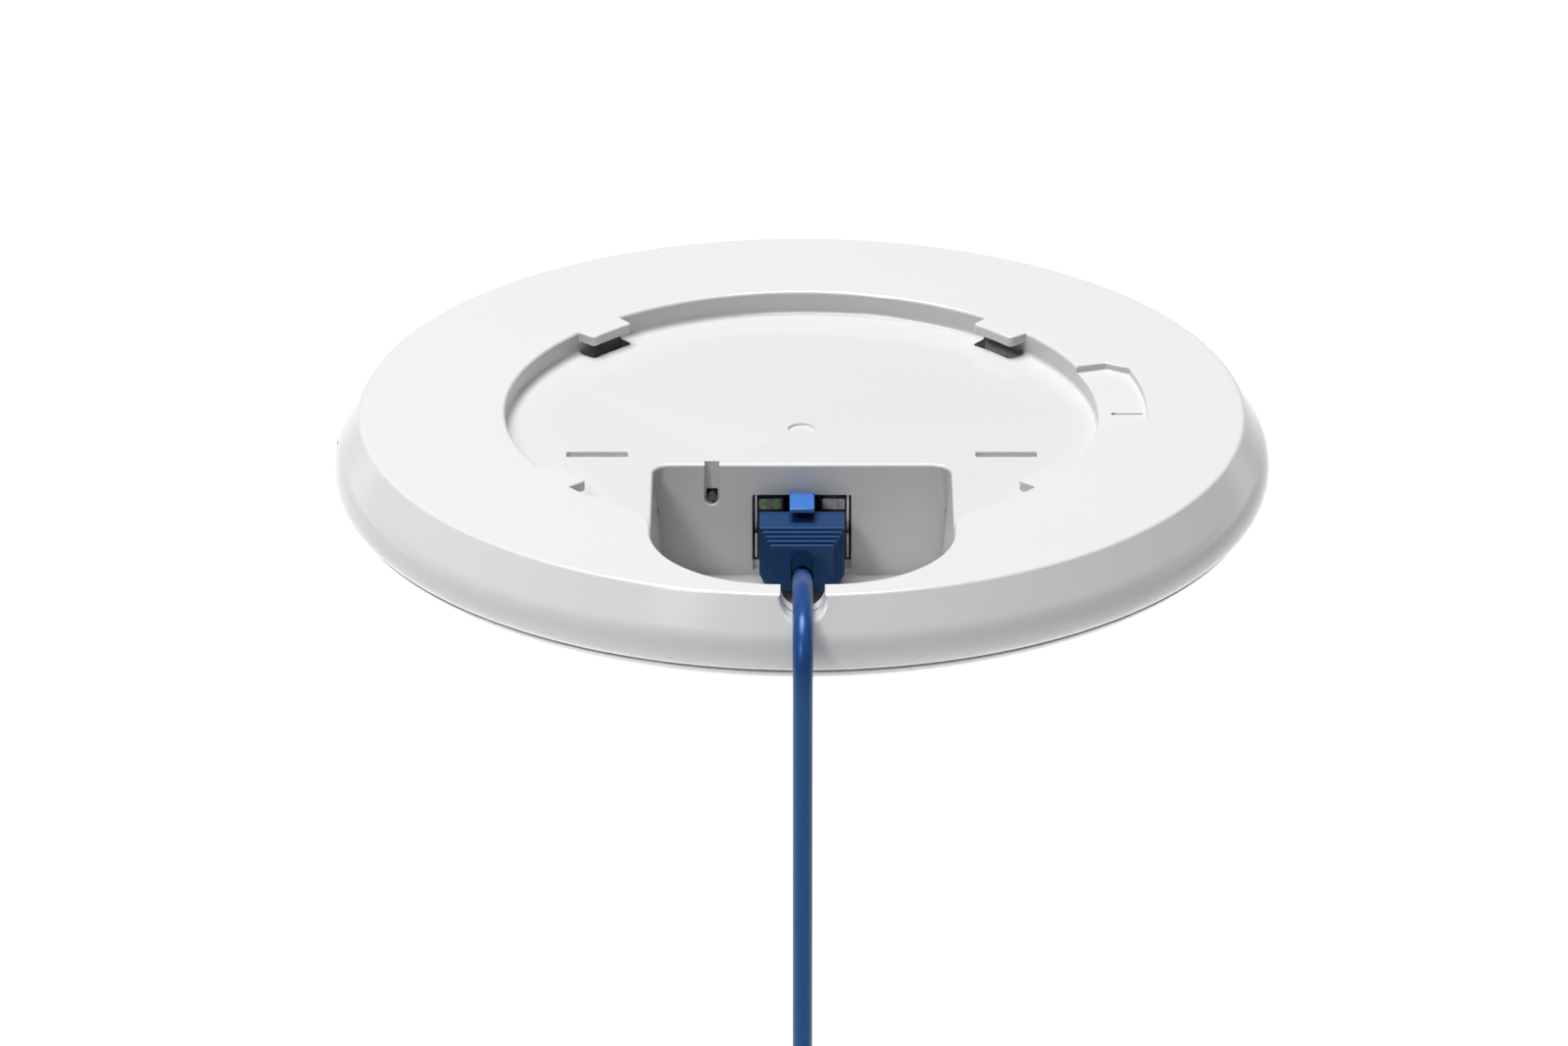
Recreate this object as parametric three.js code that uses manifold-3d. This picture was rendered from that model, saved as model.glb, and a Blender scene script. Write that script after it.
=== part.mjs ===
// Ceiling access point, 160 mm across and 33 mm deep, with its patch lead plugged in.
// Millimetres, +Z up. The origin is the centre of the back plane, which lies against the ceiling;
// the dome hangs below it. The port bay opens towards -Y.
import * as THREE from 'three';
import { mergeVertices } from 'three/addons/utils/BufferGeometryUtils.js';
import Module from 'manifold-3d';

const wasm = await Module();
wasm.setup();
const { Manifold, Mesh: SolidMesh } = wasm;

// ---------------------------------------------------------------- driving dimensions
const RIM_R = 75.5; // outer edge of the flat back rim
const MAX_R = 80; // widest circle of the casing
const MAX_R_Z = -9.1;
const CONE_R = 78.8; // lower end of the straight bevelled side
const CONE_Z = -5.3;
const SEAM_R = 78.6; // joint between casing and dome
const SEAM_Z = -12.1;
const SEAM_GAP = 0.4;
const WALL = 2;

const DOME_SPHERE_R = 166.4; // the dome's face is a shallow spherical cap
const DOME_BOTTOM_Z = -33.2;
const DOME_EDGE_R = 74; // where the cap turns up into the edge

const RECESS_R = 50.7; // twist-lock recess
const RECESS_Z = -4;
const LUG_INNER_R = 47.1;
const LUG_T = 1.8;
const LUG_ANGLES = [45, 134.5, 214.5, 325.5];
const LUG_SPAN = 11;

const BAY_HALF = 25.2; // port bay
const BAY_BACK_Y = -15;
const BAY_FRONT_Y = -71.1;
const BAY_BACK_CORNER = 3;
const BAY_FRONT_CORNER = 21;
const BAY_FLOOR_Z = -24.2;
const BAY_FILLET = 8;
const BAY_WALL = 1.6;
const BAY_BACK_WALL = 2.4;

const NOTCH_HALF = 3.65; // cable notch in the rim
const NOTCH_DEPTH = 4.2;

const BOARD_TOP = -7.2;
const BOARD_T = 1.6;
const BOARD_R = 62;
const PART_TOP = BOARD_TOP - BOARD_T - 0.2; // components hang under the board

const JACK_Z = -17.5; // axis of the network port
const JACK_TOP = -10.05;
const JACK_BOTTOM = -21.8;
const CABLE_R = 1.65;
const BOOT_END_Y = -27.6; // where the lead leaves its boot
const GAP = 0.3;

const COIL_MID_R = 19.8;
const COIL_HALF = 5.35; // half the thickness of the bundle of turns
const COIL_Y = -83.3;
const COIL_Z = -120;
const TURN_GAP = 3.7; // between neighbouring turns of the coil
const LEAD_Y = -87; // plane in which the lead hangs
const LEAD_BEND = 9;
const TAIL_END_Z = -145.3;

const degrees = THREE.MathUtils.degToRad;

// ---------------------------------------------------------------- solids from three.js geometry
function toSolid(geometry) {
  const bare = geometry.clone();
  bare.deleteAttribute('normal');
  bare.deleteAttribute('uv');
  const merged = mergeVertices(bare, 1e-4);
  const corners = merged.attributes.position;
  const triangles = Uint32Array.from(merged.index.array);
  if (signedVolume(corners, triangles) < 0) {
    for (let i = 0; i < triangles.length; i += 3) {
      [triangles[i + 1], triangles[i + 2]] = [triangles[i + 2], triangles[i + 1]];
    }
  }
  const mesh = new SolidMesh({ numProp: 3, vertProperties: corners.array, triVerts: triangles });
  mesh.merge();
  return new Manifold(mesh);
}

function signedVolume(corners, triangles) {
  const [a, b, c] = [new THREE.Vector3(), new THREE.Vector3(), new THREE.Vector3()];
  let volume = 0;
  for (let i = 0; i < triangles.length; i += 3) {
    a.fromBufferAttribute(corners, triangles[i]);
    b.fromBufferAttribute(corners, triangles[i + 1]);
    c.fromBufferAttribute(corners, triangles[i + 2]);
    volume += a.dot(b.cross(c)) / 6;
  }
  return volume;
}

function toGeometry(solid) {
  const mesh = solid.getMesh();
  const geometry = new THREE.BufferGeometry();
  geometry.setAttribute('position', new THREE.BufferAttribute(Float32Array.from(mesh.vertProperties), 3));
  geometry.setIndex(new THREE.BufferAttribute(Uint32Array.from(mesh.triVerts), 1));
  geometry.computeVertexNormals();
  return geometry;
}

function box(x, y, z) {
  const geometry = new THREE.BoxGeometry(x[1] - x[0], y[1] - y[0], z[1] - z[0]);
  geometry.translate((x[0] + x[1]) / 2, (y[0] + y[1]) / 2, (z[0] + z[1]) / 2);
  return toSolid(geometry);
}

function post(x, y, z, r, sides = 20) {
  const geometry = new THREE.CylinderGeometry(r, r, z[1] - z[0], sides);
  geometry.rotateX(Math.PI / 2);
  geometry.translate(x, y, (z[0] + z[1]) / 2);
  return toSolid(geometry);
}

function rod(x, y, z, r, sides = 20) {
  const geometry = new THREE.CylinderGeometry(r, r, y[1] - y[0], sides);
  geometry.translate(x, (y[0] + y[1]) / 2, z);
  return toSolid(geometry);
}

function prism(outline, z) {
  const geometry = new THREE.ExtrudeGeometry(new THREE.Shape(outline), {
    depth: z[1] - z[0],
    bevelEnabled: false,
    steps: 1,
  });
  geometry.translate(0, 0, z[0]);
  return toSolid(geometry);
}

// A profile in the Y-Z plane, swept from x[0] to x[1].
function sideProfile(points, x) {
  const outline = points.map(([y, z]) => new THREE.Vector2(y, z));
  const geometry = new THREE.ExtrudeGeometry(new THREE.Shape(outline), {
    depth: x[1] - x[0],
    bevelEnabled: false,
  });
  geometry.rotateZ(Math.PI / 2);
  geometry.rotateY(Math.PI / 2);
  geometry.translate(x[0], 0, 0);
  return toSolid(geometry);
}

// A closed profile of [radius, height] points, turned about Z.
function turned(profile, sides = 60) {
  const points = [...profile, profile[0]].map(([r, z]) => new THREE.Vector2(r, z));
  const geometry = new THREE.LatheGeometry(points, sides);
  geometry.rotateX(Math.PI / 2);
  return toSolid(geometry);
}

function arc(cx, cy, r, from, to, step = 6) {
  const count = Math.max(2, Math.ceil(Math.abs(to - from) / step));
  const points = [];
  for (let i = 0; i <= count; i += 1) {
    const angle = degrees(from + ((to - from) * i) / count);
    points.push(new THREE.Vector2(cx + r * Math.cos(angle), cy + r * Math.sin(angle)));
  }
  return points;
}

function joined(solids) {
  return solids.reduce((whole, solid) => whole.add(solid));
}

const group = new THREE.Group();

function addPart(parent, name, solid, color, roughness, metalness = 0) {
  const material = new THREE.MeshStandardMaterial({ color, roughness, metalness });
  const mesh = new THREE.Mesh(toGeometry(solid), material);
  mesh.name = name;
  parent.add(mesh);
  return mesh;
}

// ---------------------------------------------------------------- shared shapes
const SPHERE_Z = DOME_BOTTOM_Z + DOME_SPHERE_R;

function capZ(r, inset) {
  return SPHERE_Z - Math.sqrt((DOME_SPHERE_R - inset) ** 2 - r ** 2);
}

// Everything above the dome's sphere, moved in by inset, out to the given radius.
function aboveDome(inset, radius, top) {
  const rings = 7;
  const profile = [[0, top], [radius, top]];
  for (let i = rings; i >= 0; i -= 1) {
    const r = (radius * i) / rings;
    profile.push([r, capZ(r, inset)]);
  }
  return turned(profile);
}

// The recess and the port bay seen from above, as one opening, grown by grow.
function openingOutline(grow) {
  const recess = RECESS_R + grow;
  const fillet = BAY_FILLET - grow;
  const filletX = BAY_HALF + BAY_FILLET;
  const filletY = -Math.sqrt((RECESS_R + BAY_FILLET) ** 2 - filletX ** 2);
  const meet = THREE.MathUtils.radToDeg(Math.atan2(filletY, filletX));
  const corner = BAY_FRONT_CORNER + grow;
  const cornerX = BAY_HALF - BAY_FRONT_CORNER;
  const cornerY = BAY_FRONT_Y + BAY_FRONT_CORNER;
  return [
    ...arc(0, 0, recess, meet, 180 - meet, 5),
    ...arc(-filletX, filletY, fillet, -meet, 0, 12).slice(1),
    ...arc(-cornerX, cornerY, corner, 180, 270, 9),
    ...arc(cornerX, cornerY, corner, 270, 360, 9),
    ...arc(filletX, filletY, fillet, 180, 180 + meet, 12).slice(0, -1),
  ];
}

// The port bay alone, seen from above.
function bayOutline(grow, backGrow) {
  const half = BAY_HALF + grow;
  const back = BAY_BACK_Y + backGrow;
  const r = BAY_BACK_CORNER + grow;
  const corner = BAY_FRONT_CORNER + grow;
  const cornerX = BAY_HALF - BAY_FRONT_CORNER;
  const cornerY = BAY_FRONT_Y + BAY_FRONT_CORNER;
  return [
    ...arc(half - r, back - r, r, 0, 90, 18),
    ...arc(-half + r, back - r, r, 90, 180, 18),
    ...arc(-cornerX, cornerY, corner, 180, 270, 9),
    ...arc(cornerX, cornerY, corner, 270, 360, 9),
  ];
}

function ringSector(inner, outer, centre, span, z) {
  const from = centre - span / 2;
  const to = centre + span / 2;
  return prism([...arc(0, 0, inner, from, to, 4), ...arc(0, 0, outer, to, from, 4)], z);
}

// ---------------------------------------------------------------- rear casing
function casingSkin() {
  const inner = WALL * 0.9;
  return turned([
    [0, 0],
    [RIM_R, 0],
    [CONE_R, CONE_Z],
    [79.7, -7.1],
    [MAX_R, MAX_R_Z],
    [79.7, -11],
    [SEAM_R, SEAM_Z],
    [SEAM_R - inner, SEAM_Z],
    [MAX_R - WALL, MAX_R_Z],
    [CONE_R - WALL, CONE_Z],
    [RIM_R - WALL, -WALL],
    [0, -WALL],
  ]);
}

const RESET_X = -15.25;
const RESET_Z = -10.3;
const RESET_GROOVE_R = 1.2;
const RESET_HOLE_R = 0.95;

// A slot in X with a round bottom, cut along Y from its top down to its centre.
function roundedSlot(x, y, centreZ, topZ, r) {
  return box([x - r, x + r], y, [centreZ, topZ]).add(rod(x, y, centreZ, r));
}

// The groove runs down the bay's rear wall, and the hole for the button is at its foot.
function resetGroove() {
  const front = BAY_BACK_Y - 1;
  const depth = 1.7;
  const holeTop = RESET_Z + 1.15;
  const wallBack = BAY_BACK_Y + BAY_BACK_WALL + 1;
  return joined([
    roundedSlot(RESET_X, [front, BAY_BACK_Y + depth], RESET_Z, 1, RESET_GROOVE_R),
    roundedSlot(RESET_X, [front, wallBack], RESET_Z, holeTop, RESET_HOLE_R),
  ]);
}

function polar(r, angle) {
  return new THREE.Vector2(r * Math.cos(degrees(angle)), r * Math.sin(degrees(angle)));
}

// The shallow pocket beside the recess that takes the bracket's lock, with a slit and its end hole.
function lockPocket() {
  const outer = 59;
  const depth = 1.2;
  const lowY = -4.4;
  const mouth = RECESS_R - 1; // inside the recess, so that the pocket opens into it
  const outline = [
    new THREE.Vector2(mouth, lowY),
    ...arc(0, 0, outer, THREE.MathUtils.radToDeg(Math.asin(lowY / outer)), 16.7, 4),
    polar(55.9, 20.1),
    polar(mouth, 20.4),
  ];
  const slit = [53.3, 58.3];
  const through = [-WALL - 1, 0];
  return joined([
    prism(outline, [-depth, 1]),
    box(slit, [-0.25, 0.15], through),
    post(slit[0], -0.05, through, 0.45, 12),
  ]);
}

// A shallow dish with sloping sides at the centre of the recess floor.
function centreDimple() {
  const top = 2.4;
  const bottom = 2.2;
  const depth = 0.4;
  const slope = (top - bottom) / depth;
  const above = 1;
  const geometry = new THREE.CylinderGeometry(top + slope * above, bottom, depth + above, 24);
  geometry.rotateX(Math.PI / 2);
  geometry.translate(0, 0, RECESS_Z + (above - depth) / 2);
  return toSolid(geometry);
}

const BOSSES = [[36, 20], [-36, 20], [40, -18], [-40, -18]];
const BOSS_BOTTOM = BOARD_TOP + 0.1;
const FLOOR_BOTTOM = RECESS_Z - WALL;

// The bay's rear wall is open where the jack looks through it, and stepped back below that.
function jackWindow() {
  const half = 8.35;
  const stepDepth = 0.7;
  const bottom = JACK_BOTTOM - GAP;
  return joined([
    box([-half, half], [BAY_BACK_Y - 1, BAY_BACK_Y + 4], [bottom, JACK_TOP + 0.35]),
    box([-half, half], [BAY_BACK_Y - 1, BAY_BACK_Y + stepDepth], [BAY_FLOOR_Z, bottom + 0.1]),
  ]);
}

// The lead leaves through a U-shaped notch in the rim.
function cableNotch() {
  const y = [-MAX_R - 2, BAY_FRONT_Y + 1.1];
  const centreZ = NOTCH_HALF - NOTCH_DEPTH;
  return joined([
    box([-NOTCH_HALF, NOTCH_HALF], y, [centreZ, 1]),
    rod(0, y, centreZ, NOTCH_HALF, 24),
  ]);
}

// Solid stock round the notch, between the bay's front wall and the bevelled side.
function notchStock() {
  const half = 7;
  const side = turned([[0, 1], [RIM_R, 0], [CONE_R, CONE_Z], [MAX_R, MAX_R_Z], [0, MAX_R_Z]]);
  return box([-half, half], [-78.6, -71.8], [FLOOR_BOTTOM, -1]).intersect(side);
}

function lug(angle) {
  return ringSector(LUG_INNER_R, RECESS_R + 0.8, angle, LUG_SPAN, [-LUG_T, 0]);
}

// A lug is moulded with a shut-off window through the floor under it.
function lugWindow(angle) {
  return ringSector(LUG_INNER_R, RECESS_R, angle, LUG_SPAN, [FLOOR_BOTTOM - 1, 0]);
}

// One of the two shallow slots in the floor, left and right of the centre.
function floorSlot(side) {
  const middle = side * 34.75;
  const half = 5.2;
  return box([middle - half, middle + half], [-11.7, -9.6], [RECESS_Z - 1.3, 0]);
}

function rearCasing() {
  const body = joined([
    casingSkin(),
    prism(openingOutline(WALL), [FLOOR_BOTTOM, -1]),
    notchStock(),
    ...BOSSES.map(([x, y]) => post(x, y, [BOSS_BOTTOM, FLOOR_BOTTOM + 0.5], 3)),
  ]);
  const cuts = [
    prism(openingOutline(0), [RECESS_Z, 1]),
    prism(bayOutline(0, 0), [FLOOR_BOTTOM - 1, 1]),
    cableNotch(),
    resetGroove(),
    lockPocket(),
    centreDimple(),
    ...LUG_ANGLES.map(lugWindow),
    ...[-1, 1].map(floorSlot),
    ...BOSSES.map(([x, y]) => post(x, y, [BOSS_BOTTOM - 1, RECESS_Z - 0.9], 1.5, 12)),
  ];
  const prySlot = box([-MAX_R - 1, -78.7], [-2.4, 0.4], [-7, -6.2]);
  return joined([body.subtract(joined(cuts)), ...LUG_ANGLES.map(lug)]).subtract(prySlot);
}

// The tub that holds the port, below the recess floor. It ends just above the inside of the dome.
function portBay() {
  const clearOfDome = WALL + 0.7;
  const top = FLOOR_BOTTOM - GAP;
  const tub = prism(bayOutline(BAY_WALL, BAY_BACK_WALL), [BAY_FLOOR_Z - BAY_WALL, top])
    .intersect(aboveDome(clearOfDome, MAX_R, 1));
  const cavity = prism(bayOutline(0, 0), [BAY_FLOOR_Z, 1])
    .intersect(aboveDome(clearOfDome + BAY_WALL, MAX_R, 2));
  return tub.subtract(joined([cavity, jackWindow(), resetGroove()]));
}

addPart(group, 'rear_casing', rearCasing(), 0xf0f1f2, 0.45);
addPart(group, 'port_bay', portBay(), 0xf0f1f2, 0.45);

// ---------------------------------------------------------------- front dome
const LIGHT_Y = 52; // status light, on the side away from the port

function frontDome() {
  const top = SEAM_Z - SEAM_GAP;
  const outer = [];
  const rings = 7;
  for (let i = 0; i <= rings; i += 1) {
    const r = (DOME_EDGE_R * i) / rings;
    outer.push([r, capZ(r, 0)]);
  }
  outer.push([76.6, -14.3], [78, -13.3], [SEAM_R - 0.2, top]);
  const lip = [[76.4, top], [76.4, -9], [74.9, -9], [74.6, -13.6]];
  const inner = [];
  for (let i = rings; i >= 0; i -= 1) {
    const r = ((DOME_EDGE_R - 2) * i) / rings;
    inner.push([r, capZ(r, WALL)]);
  }
  const hooks = [];
  for (let i = 0; i < 6; i += 1) {
    hooks.push(ringSector(75.8, 77.2, 60 * i, 7, [-10.2, -9]));
  }
  const shell = turned([...outer, ...lip, ...inner]);
  return joined([shell, ...hooks]).subtract(post(0, LIGHT_Y, [-30, -15], 1.8));
}

addPart(group, 'front_dome', frontDome(), 0xf2f3f4, 0.4);

// ---------------------------------------------------------------- main board and what it carries
function mainBoard() {
  const outline = arc(0, 0, BOARD_R, 0, 355, 5);
  const board = prism(outline, [BOARD_TOP - BOARD_T, BOARD_TOP]);
  const cuts = [box([-27.3, 27.3], [-70, -12.2], [-20, 0])];
  for (const [x, y] of BOSSES) {
    cuts.push(post(x, y, [-20, 0], 1.6, 12));
  }
  for (const [x, y] of SPREADER_SCREWS) {
    cuts.push(post(x, y, [-20, 0], 1.6, 12));
  }
  return board.subtract(joined(cuts));
}

const SPREADER_SCREWS = [[-31, 15], [31, 15]];
const SPREADER_Z = [-13.3, -11.3];

function screw(x, y, headTop, tipTop) {
  const head = post(x, y, [headTop - 1.8, headTop], 2.5, 16);
  const shank = post(x, y, [headTop - 0.9, tipTop], 1.2, 12);
  const cross = joined([
    box([x - 1.5, x + 1.5], [y - 0.3, y + 0.3], [headTop - 2, headTop - 1.2]),
    box([x - 0.3, x + 0.3], [y - 1.5, y + 1.5], [headTop - 2, headTop - 1.2]),
  ]);
  return head.add(shank).subtract(cross);
}

function heatSpreader() {
  const plate = box([-35, 35], [11, 46], SPREADER_Z)
    .intersect(post(0, 0, SPREADER_Z, 56, 60));
  const feet = [...SPREADER_SCREWS, [-12, 43], [12, 43]]
    .map(([x, y]) => post(x, y, [SPREADER_Z[1] - 0.5, PART_TOP - 0.1], 2.8, 16));
  const holes = SPREADER_SCREWS.map(([x, y]) => post(x, y, [-16, 0], 1.6, 12));
  return joined([plate, ...feet]).subtract(joined(holes));
}

function antenna(angle) {
  const radius = 55;
  const foot = box([-4, 4], [-3, 3], [PART_TOP - 0.5, PART_TOP]);
  const riser = box([-5, 5], [2.5, 3], [-16, PART_TOP]);
  const shortPin = box([-8, -6.8], [2.5, 3], [-16, PART_TOP]);
  const plate = box([-9, 9], [-4.5, 3], [-16.5, -16]);
  const slot = box([-6, 6], [-2, -1], [-17, -15]);
  const turnedBack = new THREE.Matrix4().makeRotationZ(degrees(angle - 90));
  turnedBack.setPosition(radius * Math.cos(degrees(angle)), radius * Math.sin(degrees(angle)), 0);
  return joined([foot, riser, shortPin, plate]).subtract(slot).transform(turnedBack.toArray());
}

function can(x, y) {
  const outer = box(x, y, [PART_TOP - 1.8, PART_TOP]);
  const inner = box([x[0] + 0.3, x[1] - 0.3], [y[0] + 0.3, y[1] - 0.3], [PART_TOP - 1.5, PART_TOP + 1]);
  return outer.subtract(inner);
}

function chip(x, y, halfX, halfY, height) {
  return box([x - halfX, x + halfX], [y - halfY, y + halfY], [PART_TOP - height, PART_TOP]);
}

function lightPipe() {
  const stem = post(0, LIGHT_Y, [-28, -10.2], 1.5);
  const flange = post(0, LIGHT_Y, [-20.5, -19.3], 2.6);
  return joined([stem, flange]).intersect(aboveDome(0, MAX_R, 0));
}

addPart(group, 'main_board', mainBoard(), 0x1f5a34, 0.5);
addPart(group, 'heat_spreader', heatSpreader(), 0xb8bbbe, 0.35, 1);
addPart(group, 'processor', chip(0, 30, 8.5, 8.5, 1.2), 0x202226, 0.5);
addPart(group, 'thermal_pad', box([-8, 8], [22, 38], [-11.15, PART_TOP - 1.35]), 0x8fa3b8, 0.8);
addPart(group, 'memory_chip', chip(0, 15, 5.5, 4, 1), 0x202226, 0.5);
addPart(group, 'radio_shield_left', can([-30, -11.5], [20, 38]), 0xc4c7ca, 0.3, 1);
addPart(group, 'radio_shield_right', can([11.5, 30], [20, 38]), 0xc4c7ca, 0.3, 1);
addPart(group, 'network_transformer', chip(20, 0, 8, 6, 5.5), 0x1c1d20, 0.5);
addPart(group, 'power_transformer', chip(-22, 0, 7, 6, 9.5), 0x2a2622, 0.6);
addPart(group, 'power_inductor', chip(44, 2, 4, 4, 4), 0x34363a, 0.6);
const LEFT_CAPACITOR = post(-44, 4, [PART_TOP - 9, PART_TOP], 4, 24);
const RIGHT_CAPACITOR = post(-47, -6, [PART_TOP - 9, PART_TOP], 4, 24);
addPart(group, 'power_capacitor_1', LEFT_CAPACITOR, 0x30343c, 0.4);
addPart(group, 'power_capacitor_2', RIGHT_CAPACITOR, 0x30343c, 0.4);
addPart(group, 'status_led', chip(0, LIGHT_Y, 1.5, 1, 0.9), 0xf4f2e0, 0.3);
addPart(group, 'status_light_pipe', lightPipe(), 0xf6f8fa, 0.15);
[18, 62, 118, 162].forEach((angle, i) => {
  addPart(group, `antenna_${i + 1}`, antenna(angle), 0xc9b98a, 0.3, 1);
});
BOSSES.forEach(([x, y], i) => {
  addPart(group, `board_screw_${i + 1}`, screw(x, y, PART_TOP - 0.1, RECESS_Z - 1.2), 0x9a9da1, 0.3, 1);
});
SPREADER_SCREWS.forEach(([x, y], i) => {
  addPart(group, `spreader_screw_${i + 1}`, screw(x, y, SPREADER_Z[0] - 0.3, -7.4), 0x9a9da1, 0.3, 1);
});

// ---------------------------------------------------------------- network port
const JACK_FACE_Y = -14.1;
const JACK_BACK_Y = 6;
const LED_HALF = [3.4, 7.3];
const LED_Z = [-12.85, -10.85];

function jackHousing() {
  const body = box([-7.45, 7.45], [JACK_FACE_Y, JACK_BACK_Y], [JACK_BOTTOM, JACK_TOP]);
  const plugSpace = box([-6, 6], [JACK_FACE_Y - 1, -1.5], [-20.95, -14.05]);
  const latchSlot = box([-3.05, 3.05], [JACK_FACE_Y - 1, -2.5], [-14.5, JACK_TOP + 1]);
  const contactWell = box([-5.2, 5.2], [-10.5, 4], [-21.55, -20.5]);
  const ledPockets = [-1, 1].map((side) => {
    const x = LED_HALF.map((v) => side * v).sort((a, b) => a - b);
    return box([x[0] - 0.1, x[1] + 0.1], [JACK_FACE_Y - 1, -4], [LED_Z[0] - 0.1, JACK_TOP + 1]);
  });
  return body.subtract(joined([plugSpace, latchSlot, contactWell, ...ledPockets]));
}

function jackShield() {
  const half = 8.05;
  const side = 0.5; // each side is folded to this thickness
  const sheet = 0.3;
  const back = JACK_BACK_Y + 0.5;
  const shell = box([-half, half], [JACK_FACE_Y + 0.1, back], [JACK_BOTTOM, PART_TOP]);
  const front = box([-9, 9], [BAY_BACK_Y, BAY_BACK_Y + BAY_BACK_WALL + 0.3], [JACK_TOP + 0.1, 0]);
  const inner = box(
    [-half + side, half - side],
    [JACK_FACE_Y - 1, back - sheet],
    [JACK_BOTTOM - 1, PART_TOP - sheet],
  );
  const sideNotches = box([-9, 9], [JACK_FACE_Y - 1, JACK_FACE_Y + 1.3], [-17.2, -15]);
  return shell.subtract(joined([inner, front, sideNotches]));
}

function jackContacts() {
  const carrier = box([-4.9, 4.9], [1, 3.6], [-21.45, -20.6]);
  const springs = [];
  for (let i = 0; i < 8; i += 1) {
    const x = (i - 3.5) * 1.02;
    springs.push(box([x - 0.2, x + 0.2], [-10, 1.5], [-21.45, -21.05]));
  }
  return joined([carrier, ...springs]);
}

function jackLight(side) {
  const x = LED_HALF.map((v) => side * v).sort((a, b) => a - b);
  return box(x, [JACK_FACE_Y + 0.15, -4.3], LED_Z);
}

addPart(group, 'jack_housing', jackHousing(), 0x1b1c1f, 0.55);
addPart(group, 'jack_shield', jackShield(), 0x8d9094, 0.35, 1);
addPart(group, 'jack_contacts', jackContacts(), 0xd4b26a, 0.25, 1);
addPart(group, 'jack_light_left', jackLight(-1), 0x3c6b3a, 0.3);
addPart(group, 'jack_light_right', jackLight(1), 0x6b6d70, 0.3);

// ---------------------------------------------------------------- reset switch
const SWITCH_FRONT_Y = BAY_BACK_Y + BAY_BACK_WALL + 0.4;

function resetSwitch() {
  const body = box([RESET_X - 3, RESET_X + 3], [SWITCH_FRONT_Y, SWITCH_FRONT_Y + 3.6], [-12.5, PART_TOP]);
  return body.subtract(rod(RESET_X, [SWITCH_FRONT_Y - 1, SWITCH_FRONT_Y + 2.2], RESET_Z, 0.85, 20));
}

addPart(group, 'reset_switch', resetSwitch(), 0x26282b, 0.5);
const RESET_BUTTON = rod(RESET_X, [SWITCH_FRONT_Y - 2.3, SWITCH_FRONT_Y + 1.5], RESET_Z, 0.7, 20);
addPart(group, 'reset_button', RESET_BUTTON, 0x55585c, 0.5);

// ---------------------------------------------------------------- plugs
// In the plug's own frame the lead leaves the boot just below the origin, +Y points at the plug's
// nose and +Z is the latch side.
const PLUG_NOSE = 24.6;
const BOOT_BLOCK = 3.6; // the full-width block starts here
const BOOT_FRONT = 10.6;
const PLUG_TOP = 3.2;
const LATCH_END = 6.1; // free end of the latch
const EXIT_DROP = 1.6; // the lead leaves this far below the plug's axis

function plugBoot() {
  const rib = 0.9;
  const steps = [
    [5.5, 4.15, 0],
    [6, 4.55, rib],
    [6.45, 4.95, 2 * rib],
    [6.85, 5.35, 3 * rib],
  ];
  const blocks = steps.map(([x, z, y]) => box([-x, x], [y, BOOT_BLOCK + 0.5], [-z, z]));
  blocks.push(box([-7.25, 7.25], [BOOT_BLOCK, BOOT_FRONT], [-5.8, 5.8]));
  const plugSpace = box([-6.15, 6.15], [4, BOOT_FRONT + 1], [-3.7, 3.5]);
  const leadHole = rod(0, [-1, 5], -EXIT_DROP, CABLE_R + GAP, 16);
  return joined(blocks).subtract(joined([plugSpace, leadHole]));
}

function plugBody() {
  const body = box([-5.8, 5.8], [4.3, PLUG_NOSE], [-3.3, PLUG_TOP]);
  const bladeWell = box([-4.5, 4.5], [PLUG_NOSE - 6.5, PLUG_NOSE - 0.6], [-4, -1]);
  const leadHole = rod(0, [4, 15], 0, 2.4, 16);
  return body.subtract(joined([bladeWell, leadHole]));
}

function plugContacts() {
  const y = [PLUG_NOSE - 6.2, PLUG_NOSE - 0.9];
  const blades = [box([-4.1, 4.1], [y[0], y[0] + 1], [-2, -1.3])];
  for (let i = 0; i < 8; i += 1) {
    const x = (i - 3.5) * 1.02;
    blades.push(box([x - 0.15, x + 0.15], y, [-3.1, -1.3]));
  }
  return joined(blades);
}

// A springy arm that ends in a raised thumb tab.
function plugLatch() {
  const root = PLUG_NOSE - 1.2;
  const profile = [
    [root, PLUG_TOP + GAP],
    [root, 4.7],
    [14, 7.1],
    [12.35, 7.4],
    [11.6, 8.75],
    [LATCH_END, 8.2],
    [LATCH_END, 7.42],
    [10.6, 7],
    [14, 5.9],
    [root - 2.3, PLUG_TOP + GAP],
  ];
  return sideProfile(profile, [-2.1, 2.1]);
}

function addPlug(prefix, place) {
  const plug = new THREE.Group();
  place(plug);
  addPart(plug, `${prefix}plug_body`, plugBody(), 0x9fb4cc, 0.2);
  addPart(plug, `${prefix}plug_contacts`, plugContacts(), 0xd9b868, 0.25, 1);
  addPart(plug, `${prefix}plug_latch`, plugLatch(), 0x4f86cf, 0.3);
  addPart(plug, `${prefix}plug_boot`, plugBoot(), 0x1e3556, 0.45);
  group.add(plug);
}

addPlug('', (plug) => plug.position.set(0, BOOT_END_Y, JACK_Z));
addPlug('far_', (plug) => {
  plug.position.set(COIL_MID_R + TURN_GAP, COIL_Y + TURN_GAP + EXIT_DROP, TAIL_END_Z);
  plug.rotation.x = -Math.PI / 2;
});

// ---------------------------------------------------------------- patch lead
const v = (x, y, z) => new THREE.Vector3(x, y, z);

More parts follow.
